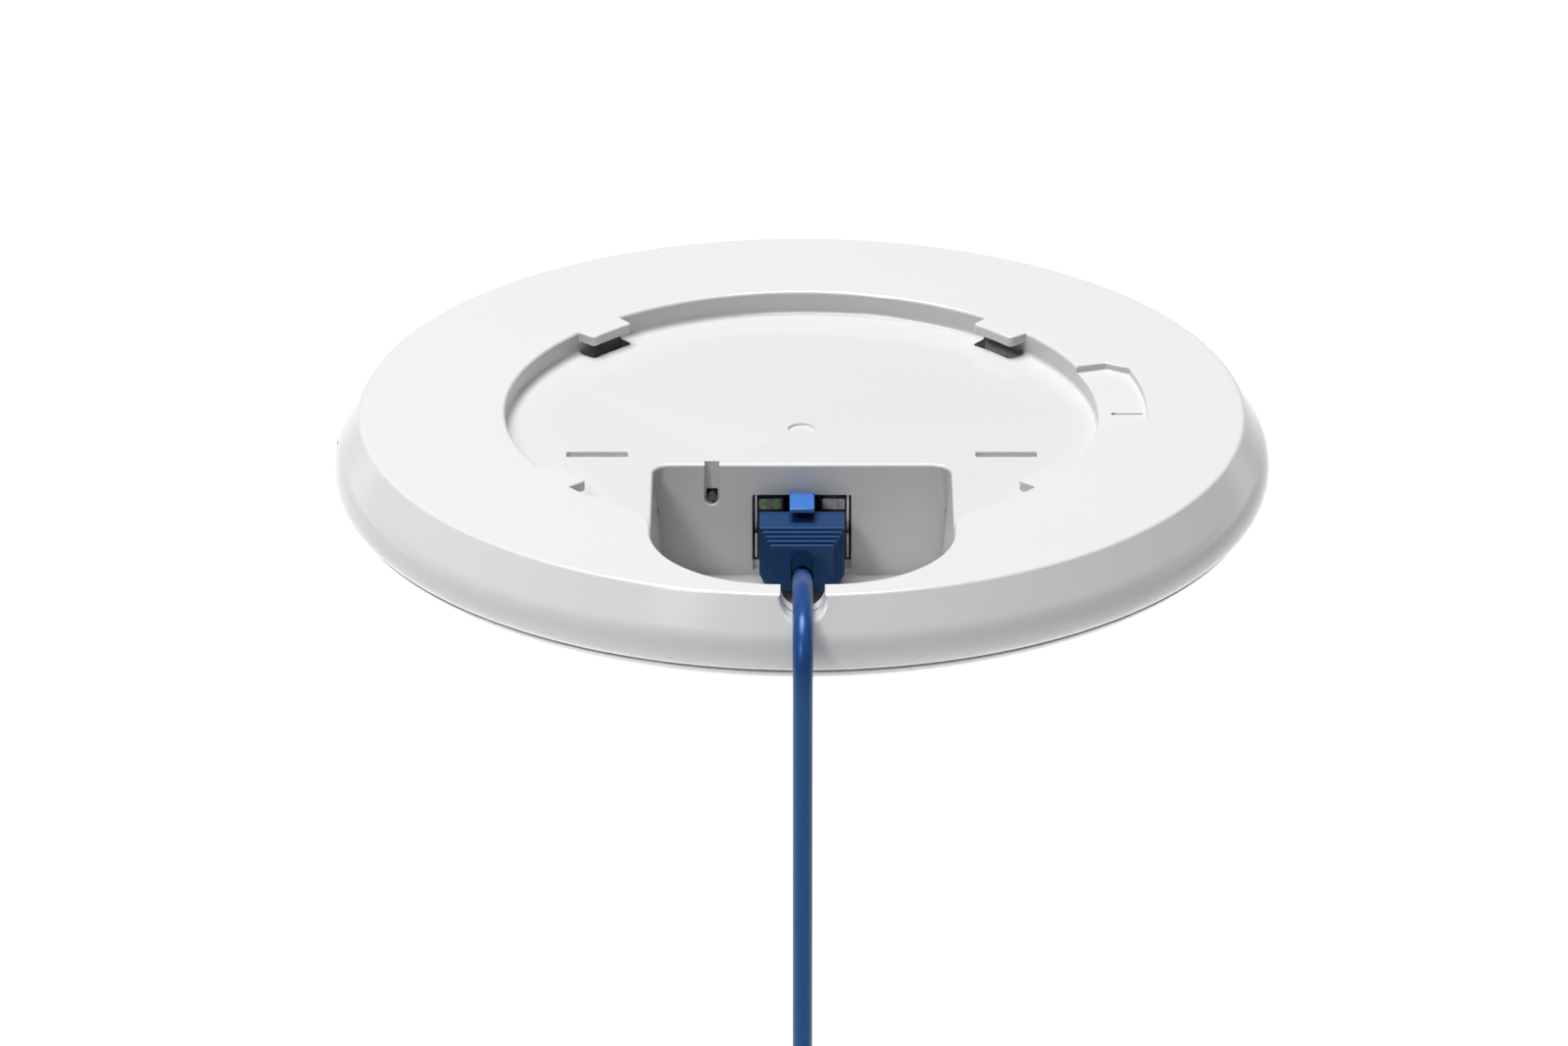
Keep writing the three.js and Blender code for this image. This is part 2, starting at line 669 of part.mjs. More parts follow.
// From the boot, slanting up to the notch, over the rim and straight down; then into the coil.
function leadRoute() {
  const route = [
    v(0, -27.9, -19.1), v(0, -31, -18.9), v(0, -36, -17.3), v(0, -42, -14.2), v(0, -48, -11),
    v(0, -54, -7.7), v(0, -59, -5.5), v(0, -64, -3.75), v(0, -68.5, -2.65), v(0, -72.5, -2.25),
    v(0, -78, -2.2), v(0, -81.44, -2.9), v(0, -84.36, -4.85), v(0, -86.31, -7.75), v(0, -87, -11.2),
    v(0, -87, -22), v(0, -87, -36), v(0, -87, -52), v(0, -87, -70), v(0, -87, -80),
  ];
  const outerTurn = COIL_MID_R + TURN_GAP;
  const bendZ = COIL_Z + Math.sqrt((outerTurn + LEAD_BEND) ** 2 - LEAD_BEND ** 2);
  for (const angle of [0, 12.5, 25]) {
    const along = degrees(angle);
    route.push(v(LEAD_BEND * (1 - Math.cos(along)), LEAD_Y, bendZ - LEAD_BEND * Math.sin(along)));
  }
  return route;
}

function tube(route, steps) {
  const section = new THREE.Shape(arc(0, 0, CABLE_R, 0, 315, 45));
  const path = new THREE.CatmullRomCurve3(route, false, 'centripetal');
  return toSolid(new THREE.ExtrudeGeometry(section, { steps, extrudePath: path, bevelEnabled: false }));
}

function coil() {
  const inner = COIL_MID_R - COIL_HALF;
  const outer = COIL_MID_R + COIL_HALF;
  const profile = [[inner, -COIL_HALF], [outer, -COIL_HALF], [outer, COIL_HALF], [inner, COIL_HALF]];
  const upright = new THREE.Matrix4().makeRotationX(Math.PI / 2);
  upright.setPosition(0, COIL_Y, COIL_Z);
  return turned(profile, 48).transform(upright.toArray());
}

function coilTie() {
  const x = [-COIL_MID_R - 7, -12];
  const y = [COIL_Y - 7, COIL_Y + 7];
  const band = box(x, y, [COIL_Z - 5, COIL_Z + 5]);
  const hole = box([x[0] + 1.2, x[1] - 1.2], [y[0] + 1.3, y[1] - 1.3], [COIL_Z - 6, COIL_Z + 6]);
  return band.subtract(hole);
}

const tailX = COIL_MID_R + TURN_GAP;
const tailY = COIL_Y + TURN_GAP;
const TAIL = [v(tailX, tailY, -133), v(tailX, tailY, -139), v(tailX, tailY, TAIL_END_Z + GAP)];

addPart(group, 'patch_lead', tube(leadRoute(), 40), 0x2c5080, 0.4);
addPart(group, 'lead_coil', coil(), 0x2c5080, 0.4);
addPart(group, 'lead_tail', tube(TAIL, 2), 0x2c5080, 0.4);
addPart(group, 'coil_tie', coilTie(), 0x1a1b1e, 0.9);

export default group;
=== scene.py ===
"""Ceiling access point with its patch lead: camera, lead, casing, port, lights and floor.

Shapes are built in millimetres in the part's own frame and scaled to metres when they are done.
"""
import math

import bmesh
import bpy
from mathutils import Matrix, Vector


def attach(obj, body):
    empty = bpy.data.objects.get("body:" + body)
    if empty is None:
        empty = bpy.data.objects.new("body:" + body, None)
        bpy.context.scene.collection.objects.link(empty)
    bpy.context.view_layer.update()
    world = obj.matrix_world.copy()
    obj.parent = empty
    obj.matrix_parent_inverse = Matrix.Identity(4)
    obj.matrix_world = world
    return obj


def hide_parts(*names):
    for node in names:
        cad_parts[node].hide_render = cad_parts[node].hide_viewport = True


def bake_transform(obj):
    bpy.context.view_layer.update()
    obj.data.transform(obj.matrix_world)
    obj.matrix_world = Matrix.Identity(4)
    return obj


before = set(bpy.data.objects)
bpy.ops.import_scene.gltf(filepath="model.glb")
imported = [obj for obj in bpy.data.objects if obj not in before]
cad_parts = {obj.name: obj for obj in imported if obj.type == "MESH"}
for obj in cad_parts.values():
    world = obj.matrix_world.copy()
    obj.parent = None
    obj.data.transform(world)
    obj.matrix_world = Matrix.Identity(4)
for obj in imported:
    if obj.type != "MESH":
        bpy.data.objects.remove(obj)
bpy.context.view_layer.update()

MM = 0.001
scene = bpy.context.scene

# ---------------------------------------------------------------- driving dimensions, mm
# The casing's profile as (radius, z): the rim, the foot of its bevel, the widest line and the seam.
RIM_R = 75.5
CONE = (78.8, -5.3)
WIDEST = (80.0, -9.1)
SEAM = (78.6, -12.1)
SEAM_GAP = 0.4
WALL = 2.0

# The dome: a shallow spherical cap that curls up to the seam.
DOME_SPHERE_R = 166.4
DOME_BOTTOM = -33.2
DOME_EDGE_R = 74.0
SPHERE_Z = DOME_BOTTOM + DOME_SPHERE_R
STATUS_LIGHT_Y = 52
STATUS_LIGHT_HOLE_R = 1.8

# The twist-lock recess, and the four lugs over its edge. Angles and the span are in degrees.
RECESS_R = 50.7
RECESS_Z = -4.0
FLOOR_BOTTOM = RECESS_Z - WALL
LUG_INNER_R = 47.1
LUG_T = 1.8
LUG_ANGLES = (45.0, 134.5, 214.5, 325.5)
LUG_SPAN = 11.0
FLOOR_SLOT_X = 34.75
FLOOR_SLOT_HALF = 5.2
FLOOR_SLOT_Y = (-11.7, -9.6)
FLOOR_SLOT_DEPTH = 1.3
DIMPLE_R = 2.4
DIMPLE_DEPTH = 0.4

# The port bay. Its floor is level near the rear wall and follows the dome further out.
BAY_HALF = 25.2
BAY_BACK = -15.0
BAY_FRONT = -71.1
BAY_BACK_CORNER = 3.0
BAY_DEEP_CORNER = 0.8
BAY_FRONT_CORNER = 21.0
BAY_FLOOR = -23.6
BAY_FILLET = 8.0
BAY_WALL = 1.6
BAY_BACK_WALL = 2.4
BAY_FLOOR_INSET = 4.3
BAY_UNDERSIDE_INSET = 2.7
BAY_DRAFT = math.radians(5)

# The lead's notch through the rim, and the reset button's groove and hole in the bay's rear wall.
NOTCH_HALF = 3.65
NOTCH_DEPTH = 4.2
RESET_X = -15.25
RESET_Z = -10.3
RESET_GROOVE_R = 1.2
RESET_HOLE_R = 0.95

# The jack's window in the same wall, and the plug in it.
JACK_Z = -17.5
WINDOW_TOP = -9.7
WINDOW_BOTTOM = -22.1
WINDOW_HALF = 8.35
BOOT_END = -27.6
LATCH_END = 6.1

# The lead: its exit from the boot, its drop outside the rim, and the tied coil.
CABLE_R = 1.65
EXIT_Z = JACK_Z - 1.6
LEAD_Y = -87.0
LEAD_BEND = 9.0
COIL_Z = -120.0
OUTER_TURN = 23.5
TURN_GAP = 3.7
TAIL_END = -145.3

# How far a cutter runs past the face that it opens.
PAST = 0.01

# ---------------------------------------------------------------- camera
PITCH = math.radians(24.55)
DISTANCE = 1.332
TARGET = Vector((-3.04, -47.55, 0)) * MM

camera_data = bpy.data.cameras.new("camera")
camera_data.lens = 184.8
camera_data.sensor_width = 36
camera_data.clip_end = 20
camera = bpy.data.objects.new("camera", camera_data)
camera.location = TARGET + Vector((0, -math.cos(PITCH), math.sin(PITCH))) * DISTANCE
camera.rotation_euler = (math.pi / 2 - PITCH, 0, 0)
scene.collection.objects.link(camera)
scene.camera = camera
scene.view_settings.view_transform = "Standard"


# ---------------------------------------------------------------- mesh tools
def build(name, corners, faces):
    """A new object from corners and faces, merged where they meet and facing outwards."""
    mesh = bpy.data.meshes.new(name)
    mesh.from_pydata(corners, [], faces)
    work = bmesh.new()
    work.from_mesh(mesh)
    bmesh.ops.remove_doubles(work, verts=work.verts, dist=1e-5)
    bmesh.ops.recalc_face_normals(work, faces=work.faces)
    work.to_mesh(mesh)
    work.free()
    piece = bpy.data.objects.new(name, mesh)
    scene.collection.objects.link(piece)
    return piece


def loft(sections, name="shape", ring=False):
    """Skins a row of sections with the same number of points. A ring's last section meets its first."""
    count = len(sections[0])
    corners = [point for section in sections for point in section]
    faces = []
    for row in range(len(sections) if ring else len(sections) - 1):
        here = row * count
        there = (row + 1) % len(sections) * count
        for i in range(count):
            j = (i + 1) % count
            faces.append((here + i, here + j, there + j, there + i))
    if not ring:
        faces.append(tuple(range(count)))
        faces.append(tuple(range(len(corners) - count, len(corners))))
    return build(name, corners, faces)


def revolve(profile, steps, name="shape"):
    """A closed profile of (radius, height) points, turned about Z."""
    sections = []
    for i in range(steps):
        angle = 2 * math.pi * i / steps
        c, s = math.cos(angle), math.sin(angle)
        sections.append([(r * c, r * s, z) for r, z in profile])
    return loft(sections, name, ring=True)


def combine(piece, tool, operation):
    """Applies a boolean of the tool to the piece, and removes the tool."""
    modifier = piece.modifiers.new("combine", "BOOLEAN")
    modifier.operation = operation
    modifier.solver = "MANIFOLD"
    modifier.object = tool
    depsgraph = bpy.context.evaluated_depsgraph_get()
    mesh = bpy.data.meshes.new_from_object(piece.evaluated_get(depsgraph))
    piece.modifiers.clear()
    piece.data = mesh
    bpy.data.objects.remove(tool)
    return piece


def cut(piece, *tools):
    for tool in tools:
        combine(piece, tool, "DIFFERENCE")
    return piece


def join(piece, *tools):
    for tool in tools:
        combine(piece, tool, "UNION")
    return piece


def keep(piece, tool):
    return combine(piece, tool, "INTERSECT")


def arc(cx, cy, radius, start, end, steps):
    """Points along an arc, its ends in degrees."""
    points = []
    for i in range(steps + 1):
        angle = math.radians(start + (end - start) * i / steps)
        points.append((cx + radius * math.cos(angle), cy + radius * math.sin(angle)))
    return points


def polar(radius, angle):
    return (radius * math.cos(math.radians(angle)), radius * math.sin(math.radians(angle)))


def curve(a, b, c, d, steps):
    """Points of a cubic curve after its first one."""
    points = []
    for i in range(1, steps + 1):
        t = i / steps
        u = 1 - t
        weights = (u ** 3, 3 * u * u * t, 3 * u * t * t, t ** 3)
        points.append(tuple(sum(w * p[k] for w, p in zip(weights, (a, b, c, d))) for k in (0, 1)))
    return points


def rounded(corners, steps=5):
    """A closed outline of (x, y, radius) corners, each turned into an arc of its radius."""
    outline = []
    for i, (x, y, radius) in enumerate(corners):
        here = Vector((x, y))
        before = Vector(corners[i - 1][:2]) - here
        after = Vector(corners[(i + 1) % len(corners)][:2]) - here
        if radius == 0:
            outline.append((x, y))
            continue
        half_turn = before.angle(after) / 2
        reach = radius / math.tan(half_turn)
        inward = (before.normalized() + after.normalized()).normalized()
        centre = here + inward * (radius / math.sin(half_turn))
        start = here + before.normalized() * reach - centre
        finish = here + after.normalized() * reach - centre
        turn = start.angle_signed(finish)
        for k in range(steps + 1):
            outline.append(tuple(centre + Matrix.Rotation(-turn * k / steps, 2) @ start))
    return outline


def normals(outline):
    """Outward mitre vectors of a closed counter-clockwise outline."""
    found = []
    for i, point in enumerate(outline):
        here = Vector(point)
        along_in = (here - Vector(outline[i - 1])).normalized()
        along_out = (Vector(outline[(i + 1) % len(outline)]) - here).normalized()
        a = Vector((along_in.y, -along_in.x))
        b = Vector((along_out.y, -along_out.x))
        found.append((a + b) / (1 + a.dot(b)))
    return found


def flare(edge, radius, steps=5):
    """(level, offset) pairs of a cutter that rounds the edge it leaves at a level."""
    turns = [math.pi / 2 * i / steps for i in range(steps + 1)]
    return [(edge - radius + radius * math.sin(t), radius * (1 - math.cos(t))) for t in turns]


def foot(floor, radius, steps=4):
    """(level, offset) pairs of a cutter with a rounded foot."""
    turns = [math.pi / 2 * i / steps for i in range(steps + 1)]
    return [(floor + radius * (1 - math.cos(t)), -radius * (1 - math.sin(t))) for t in turns]


def stack(outline, levels):
    """A loft along Z: the outline at each level, grown by the level's offset."""
    out = normals(outline)
    sections = []
    for z, offset in levels:
        sections.append([(x + n.x * offset, y + n.y * offset, z) for (x, y), n in zip(outline, out)])
    return loft(sections)


def along_y(outline, levels):
    """A loft along Y of an outline in X and Z."""
    out = normals(outline)
    sections = []
    for y, offset in levels:
        sections.append([(x + n.x * offset, y, z + n.y * offset) for (x, z), n in zip(outline, out)])
    return loft(sections)


def rectangle(x0, x1, y0, y1, radius=0.0, steps=5):
    corners = [(x0, y0, radius), (x1, y0, radius), (x1, y1, radius), (x0, y1, radius)]
    return rounded(corners, steps)


def block(x, y, z, edge):
    """A box between pairs of X, Y and Z, with rounded edges."""
    bottom, top = z
    levels = [(bottom, -edge)]
    foot_turn = [(edge * (1 - math.cos(t)), -edge * (1 - math.sin(t))) for t in (0.5, 1.0, math.pi / 2)]
    levels += [(bottom + rise, offset) for rise, offset in foot_turn]
    levels += [(top - edge * (1 - math.sin(t)), -edge * (1 - math.cos(t))) for t in (0, 0.6, 1.1)]
    levels += [(top, -edge)]
    return stack(rectangle(*x, *y, edge), levels)


def post(x, y, z, radius, steps):
    """A cylinder along Z between a pair of levels."""
    outline = [(x + px, y + py) for px, py in arc(0, 0, radius, 0, 360, steps)[:-1]]
    return stack(outline, [(z[0], 0), (z[1], 0)])


def rod(x, y, z, radius, steps):
    """A cylinder along Y between a pair of places."""
    outline = [(x + px, z + pz) for px, pz in arc(0, 0, radius, 0, 360, steps)[:-1]]
    return along_y(outline, [(y[0], 0), (y[1], 0)])


# ---------------------------------------------------------------- materials
def paint_floor_shade(nodes, links, place, shape, base, shader):
    """Paints shade onto level faces below the rim, such as the recess floor: a painted shade that makes
    their colour darker than the rim's.
    """
    fades_in_at, full_at = -0.0032, -0.0038
    nearly_level, level = 0.93, 0.99
    # The painted shade multiplies the floors' colour by this.
    painted_shade_factor = 0.95

    def masked(source, socket, low, high):
        parts = nodes.new("ShaderNodeSeparateXYZ")
        step = nodes.new("ShaderNodeMapRange")
        step.inputs["From Min"].default_value = low
        step.inputs["From Max"].default_value = high
        links.new(source.outputs[socket], parts.inputs["Vector"])
        links.new(parts.outputs["Z"], step.inputs["Value"])
        return step.outputs["Result"]

    both = nodes.new("ShaderNodeMath")
    both.operation = "MULTIPLY"
    links.new(masked(place, "Object", fades_in_at, full_at), both.inputs[0])
    links.new(masked(shape, "Normal", nearly_level, level), both.inputs[1])
    shaded = nodes.new("ShaderNodeMix")
    shaded.data_type = "RGBA"
    shaded.blend_type = "MULTIPLY"
    shaded.inputs["B"].default_value = (painted_shade_factor, painted_shade_factor, painted_shade_factor, 1)
    links.new(both.outputs["Value"], shaded.inputs["Factor"])
    links.new(base.outputs["Result"], shaded.inputs["A"])
    links.new(shaded.outputs["Result"], shader.inputs["Base Color"])


def material(name, colour, roughness, metallic=0.0, grain=900.0, grain_depth=0.05, blotch=0.03,
             blotch_scale=30.0, edge_wear_and_highlight=0.06, specular=0.5, shine=(1, 1, 1), transmission=0.0,
             painted_floor_shade=False):
    """A procedural finish: fine grain in the bump, soft colour variation, lighter edges that stand for
    edge wear at a low setting and for a painted highlight at a high one, and optional painted shade on the
    floors below the rim.
    """
    roughness_spread = 0.04
    flat_pointiness, edge_pointiness = 0.52, 0.62
    made = bpy.data.materials.new(name)
    made.use_nodes = True
    nodes = made.node_tree.nodes
    links = made.node_tree.links
    shader = nodes["Principled BSDF"]
    shader.inputs["Metallic"].default_value = metallic
    shader.inputs["Specular IOR Level"].default_value = specular
    shader.inputs["Specular Tint"].default_value = (*shine, 1)
    shader.inputs["Transmission Weight"].default_value = transmission

    place = nodes.new("ShaderNodeTexCoord")
    patches = nodes.new("ShaderNodeTexNoise")
    patches.inputs["Scale"].default_value = blotch_scale
    patches.inputs["Detail"].default_value = 4
    links.new(place.outputs["Object"], patches.inputs["Vector"])

    tint = nodes.new("ShaderNodeMix")
    tint.data_type = "RGBA"
    darker = [c * (1 - blotch) for c in colour]
    lighter = [min(1, c * (1 + blotch)) for c in colour]
    tint.inputs["A"].default_value = (*darker, 1)
    tint.inputs["B"].default_value = (*lighter, 1)
    links.new(patches.outputs["Fac"], tint.inputs["Factor"])

    shape = nodes.new("ShaderNodeNewGeometry")
    # Lighter convex edges by pointiness: edge wear, and where the setting is high a painted highlight.
    edges = nodes.new("ShaderNodeMapRange")
    edges.inputs["From Min"].default_value = flat_pointiness
    edges.inputs["From Max"].default_value = edge_pointiness
    edges.inputs["To Max"].default_value = edge_wear_and_highlight
    links.new(shape.outputs["Pointiness"], edges.inputs["Value"])
    worn_and_lit_edges = nodes.new("ShaderNodeMix")
    worn_and_lit_edges.data_type = "RGBA"
    worn_and_lit_edges.inputs["B"].default_value = (*[min(1, c * 1.3 + 0.05) for c in colour], 1)
    links.new(tint.outputs["Result"], worn_and_lit_edges.inputs["A"])
    links.new(edges.outputs["Result"], worn_and_lit_edges.inputs["Factor"])
    links.new(worn_and_lit_edges.outputs["Result"], shader.inputs["Base Color"])
    # Painted shade on the level floors below the rim.
    if painted_floor_shade:
        paint_floor_shade(nodes, links, place, shape, worn_and_lit_edges, shader)

    polish = nodes.new("ShaderNodeMapRange")
    polish.inputs["To Min"].default_value = max(0, roughness - roughness_spread)
    polish.inputs["To Max"].default_value = min(1, roughness + roughness_spread)
    links.new(patches.outputs["Fac"], polish.inputs["Value"])
    links.new(polish.outputs["Result"], shader.inputs["Roughness"])

    fine = nodes.new("ShaderNodeTexNoise")
    fine.inputs["Scale"].default_value = grain
    fine.inputs["Detail"].default_value = 3
    links.new(place.outputs["Object"], fine.inputs["Vector"])
    bump = nodes.new("ShaderNodeBump")
    bump.inputs["Strength"].default_value = grain_depth
    bump.inputs["Distance"].default_value = 0.0002
    links.new(fine.outputs["Fac"], bump.inputs["Height"])
    links.new(bump.outputs["Normal"], shader.inputs["Normal"])
    return made


# The casing's recess and bay floors get painted shade.
CASING = material("casing_plastic", (0.55, 0.552, 0.554), 0.17, grain=2500, grain_depth=0.04, blotch=0.008,
                  painted_floor_shade=True)
DOME = material("dome_plastic", (0.59, 0.592, 0.594), 0.17, grain=2500, grain_depth=0.03, blotch=0.008)
BOARD = material("board_laminate", (0.012, 0.06, 0.03), 0.4, blotch=0.2, blotch_scale=180, grain=1500)
SPREADER = material("spreader_metal", (0.6, 0.61, 0.62), 0.35, metallic=1.0, grain=1800)
CHIP = material("chip_epoxy", (0.015, 0.016, 0.018), 0.45, blotch=0.1)
PAD = material("pad_silicone", (0.25, 0.36, 0.48), 0.75, blotch=0.05)
TIN = material("shield_tin", (0.55, 0.56, 0.57), 0.3, metallic=1.0, grain=1200)
TAPE = material("winding_tape", (0.28, 0.2, 0.04), 0.45, blotch=0.1)
FERRITE = material("ferrite", (0.03, 0.03, 0.033), 0.65, grain=2500, grain_depth=0.3)
SLEEVE = material("capacitor_sleeve", (0.02, 0.022, 0.03), 0.3, blotch=0.1)
LENS = material("led_lens", (0.85, 0.83, 0.6), 0.2)
PIPE = material("light_pipe", (0.9, 0.92, 0.95), 0.1, transmission=0.9)
AERIAL = material("antenna_metal", (0.65, 0.55, 0.33), 0.3, metallic=1.0, grain=1500)
STEEL = material("screw_steel", (0.42, 0.43, 0.45), 0.28, metallic=1.0, grain=2000)
JACK_BLACK = material("jack_plastic", (0.012, 0.012, 0.014), 0.5, grain=2200, grain_depth=0.1, blotch=0.1)
JACK_METAL = material("jack_metal", (0.7, 0.71, 0.73), 0.34, metallic=0.25, grain=1600)
GOLD = material("contact_gold", (0.8, 0.58, 0.25), 0.22, metallic=1.0)
LIGHT_GREEN = material("light_green", (0.24, 0.25, 0.22), 0.3, blotch=0.7, blotch_scale=1400, grain=3000)
LIGHT_GREY = material("light_grey", (0.42, 0.42, 0.44), 0.3, blotch=0.7, blotch_scale=1400, grain=3000)
BUTTON = material("button_plastic", (0.06, 0.062, 0.066), 0.45)
CLEAR = material("plug_clear", (0.75, 0.85, 0.95), 0.08, transmission=0.85, grain_depth=0.0)
LATCH = material("latch_blue", (0.035, 0.13, 0.4), 0.2, blotch=0.04, shine=(0.5, 0.8, 1))
# The boot's strongly lighter edges are a painted highlight along its rib edges.
BOOT = material("boot_blue", (0.006, 0.028, 0.092), 0.45, grain=2600, grain_depth=0.06, blotch=0.05,
                edge_wear_and_highlight=0.3, specular=0.35, shine=(0.3, 0.6, 1))
JACKET = material("lead_jacket", (0.013, 0.049, 0.17), 0.3, grain=2000, grain_depth=0.04, blotch=0.05,
                  shine=(0.25, 0.6, 1))
FABRIC = material("tie_fabric", (0.014, 0.014, 0.016), 0.9, grain=4500, grain_depth=0.9, blotch=0.3,
                  blotch_scale=1500, specular=0.2)


def green_dots(finish, centre, apart, colour):
    """Four lit dots round a centre, each the same distance from it in X and in Z, in metres."""
    dot_outside, dot_inside = 0.00034, 0.00022
    nodes = finish.node_tree.nodes
    links = finish.node_tree.links
    place = nodes.new("ShaderNodeTexCoord")
    folded = place.outputs["Object"]
    fold = (("SUBTRACT", centre), ("ABSOLUTE", None), ("SUBTRACT", apart), ("MULTIPLY", (1, 0, 1)))
    for operation, value in fold:
        step = nodes.new("ShaderNodeVectorMath")
        step.operation = operation
        links.new(folded, step.inputs[0])
        if value:
            step.inputs[1].default_value = value
        folded = step.outputs["Vector"]
    distance = nodes.new("ShaderNodeVectorMath")
    distance.operation = "LENGTH"
    links.new(folded, distance.inputs[0])
    dot = nodes.new("ShaderNodeMapRange")
    dot.inputs["From Min"].default_value = dot_outside
    dot.inputs["From Max"].default_value = dot_inside
    links.new(distance.outputs["Value"], dot.inputs["Value"])
    painted = nodes.new("ShaderNodeMix")
    painted.data_type = "RGBA"
    painted.inputs["B"].default_value = (*colour, 1)
    base = nodes["Principled BSDF"].inputs["Base Color"]
    links.new(base.links[0].from_socket, painted.inputs["A"])
    links.new(dot.outputs["Result"], painted.inputs["Factor"])
    links.new(painted.outputs["Result"], base)


green_dots(LIGHT_GREEN, centre=(-0.00535, 0, -0.01185), apart=(0.00105, 0, 0.00057),
           colour=(0.02, 0.7, 0.04))


# ---------------------------------------------------------------- finishing a piece
def shade(piece, sharp=30):
    """Smooth shading, except over edges sharper than an angle in degrees."""
    mesh = piece.data
    mesh.polygons.foreach_set("use_smooth", [True] * len(mesh.polygons))
    mesh.set_sharp_from_angle(angle=math.radians(sharp))
    weighted = piece.modifiers.new("normals", "WEIGHTED_NORMAL")
    weighted.keep_sharp = True


def done(piece, name, finish, body, nodes):
    """Scales a piece to metres, smooths it, gives it its finish and sets it on its body."""
    piece.name = name
    piece.data.name = name
    piece.data.transform(Matrix.Scale(MM, 4))
    shade(piece)
    piece.data.materials.clear()
    piece.data.materials.append(finish)
    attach(piece, body)
    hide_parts(*nodes)


# ---------------------------------------------------------------- patch lead
# The middle line from the boot, up to the notch, over the rim and straight down.
ROUTE = [
    (0, -27.9, -19.1), (0, -31, -18.9), (0, -36, -17.3), (0, -42, -14.2), (0, -48, -11),
    (0, -54, -7.7), (0, -59, -5.5), (0, -64, -3.75), (0, -68.5, -2.65), (0, -72.5, -2.25),
    (0, -78, -2.2), (0, -81.44, -2.9), (0, -84.36, -4.85), (0, -86.31, -7.75), (0, -87, -11.2),
    (0, -87, -22), (0, -87, -36), (0, -87, -52), (0, -87, -70), (0, -87, -80),
]


def spline(points, per_span=8):
    """A centripetal curve through the points."""
    first = points[0] * 2 - points[1]
    last = points[-1] * 2 - points[-2]
    line = [first, *points, last]
    made = []
    for a, b, c, d in zip(line, line[1:], line[2:], line[3:]):
        ta = 0.0
        tb = ta + (b - a).length ** 0.5
        tc = tb + (c - b).length ** 0.5
        td = tc + (d - c).length ** 0.5
        for i in range(per_span):
            t = tb + (tc - tb) * i / per_span
            ab = a.lerp(b, (t - ta) / (tb - ta))
            bc = b.lerp(c, (t - tb) / (tc - tb))
            cd = c.lerp(d, (t - tc) / (td - tc))
            abc = ab.lerp(bc, (t - ta) / (tc - ta))
            bcd = bc.lerp(cd, (t - tb) / (td - tb))
            made.append(abc.lerp(bcd, (t - tb) / (tc - tb)))
    return [*made, points[-1]]


def coil_line():
    """The bend into the coil, its six and a quarter turns and the tail to the far plug, in mm."""
    reach = OUTER_TURN + LEAD_BEND
    bend_z = COIL_Z + math.sqrt(reach ** 2 - LEAD_BEND ** 2)
    merge = math.degrees(math.asin(LEAD_BEND / reach))
    line = []
    bend_steps = 10
    for i in range(bend_steps):
        a = math.radians((90 - merge) * i / bend_steps)
        line.append(Vector((LEAD_BEND * (1 - math.cos(a)), LEAD_Y, bend_z - LEAD_BEND * math.sin(a))))

    near, middle, far = LEAD_Y, LEAD_Y + TURN_GAP, LEAD_Y + 2 * TURN_GAP
    wide, mid, narrow = OUTER_TURN, OUTER_TURN - TURN_GAP, OUTER_TURN - 2 * TURN_GAP
    turns = [(wide, near), (mid, near), (narrow, near), (narrow, middle), (mid, middle),
             (wide, middle), (wide, far)]
    step_from, step_to, leave = 245, 295, 90
    degrees_per_point = 5
    tail_overlap = 0.3
    last = 360 * (len(turns) - 1) + leave
    angle = merge
    while angle < last:
        turn, part = divmod(angle, 360)
        turn = int(turn)
        blend = min(1, max(0, (part - step_from) / (step_to - step_from)))
        blend = blend * blend * (3 - 2 * blend)
        here = turns[min(turn, len(turns) - 1)]
        there = turns[min(turn + 1, len(turns) - 1)]
        radius = here[0] + (there[0] - here[0]) * blend
        y = here[1] + (there[1] - here[1]) * blend
        a = math.radians(angle)
        line.append(Vector((radius * math.sin(a), y, COIL_Z + radius * math.cos(a))))
        angle += degrees_per_point
    tail_steps = 8
    for i in range(tail_steps + 1):
        line.append(Vector((wide, far, COIL_Z + (TAIL_END + tail_overlap - COIL_Z) * i / tail_steps)))
    return line


def tube(line, radius, sides, name):
    """A round tube along a line, its rings carried along without twist."""
    side = Vector((1, 0, 0))
    sections = []
    for i, point in enumerate(line):
        along = (line[min(i + 1, len(line) - 1)] - line[max(i - 1, 0)]).normalized()
        side = (side - along * side.dot(along)).normalized()
        up = along.cross(side)
        ring = []
        for k in range(sides):
            a = 2 * math.pi * k / sides
            ring.append(tuple(point + side * radius * math.cos(a) + up * radius * math.sin(a)))
        sections.append(ring)
    return loft(sections, name)


def lead():
    """The whole lead as one tube, from the boot up over the rim and down into the coil and its tail."""
    line = spline([Vector(p) for p in ROUTE]) + coil_line()
    made = tube(line, CABLE_R, sides=24, name="lead")
    made.data.transform(Matrix.Scale(MM, 4))
    shade(made, sharp=60)
    made.data.materials.append(JACKET)
    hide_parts("patch_lead", "lead_coil", "lead_tail")
    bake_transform(made)


# ---------------------------------------------------------------- shared outlines
def cap_z(r, inset):
    """The dome's height at a radius, or that of a surface inset from it."""
    return SPHERE_Z - math.sqrt((DOME_SPHERE_R - inset) ** 2 - r ** 2)


def above_dome(inset, top):
    """The space above a surface inset from the dome, up to a level."""
    radius = WIDEST[0]
    steps = 24
    line = [(radius * i / steps, cap_z(radius * i / steps, inset)) for i in range(steps + 1)]
    return revolve([(0, top), *line, (radius, top)], 128)


def bay_front(grow):
    """The bay's front wall, with its two large corners."""
    x = BAY_HALF - BAY_FRONT_CORNER
    y = BAY_FRONT + BAY_FRONT_CORNER
    r = BAY_FRONT_CORNER + grow
    return arc(-x, y, r, 180, 270, 30) + arc(x, y, r, 270, 360, 30)


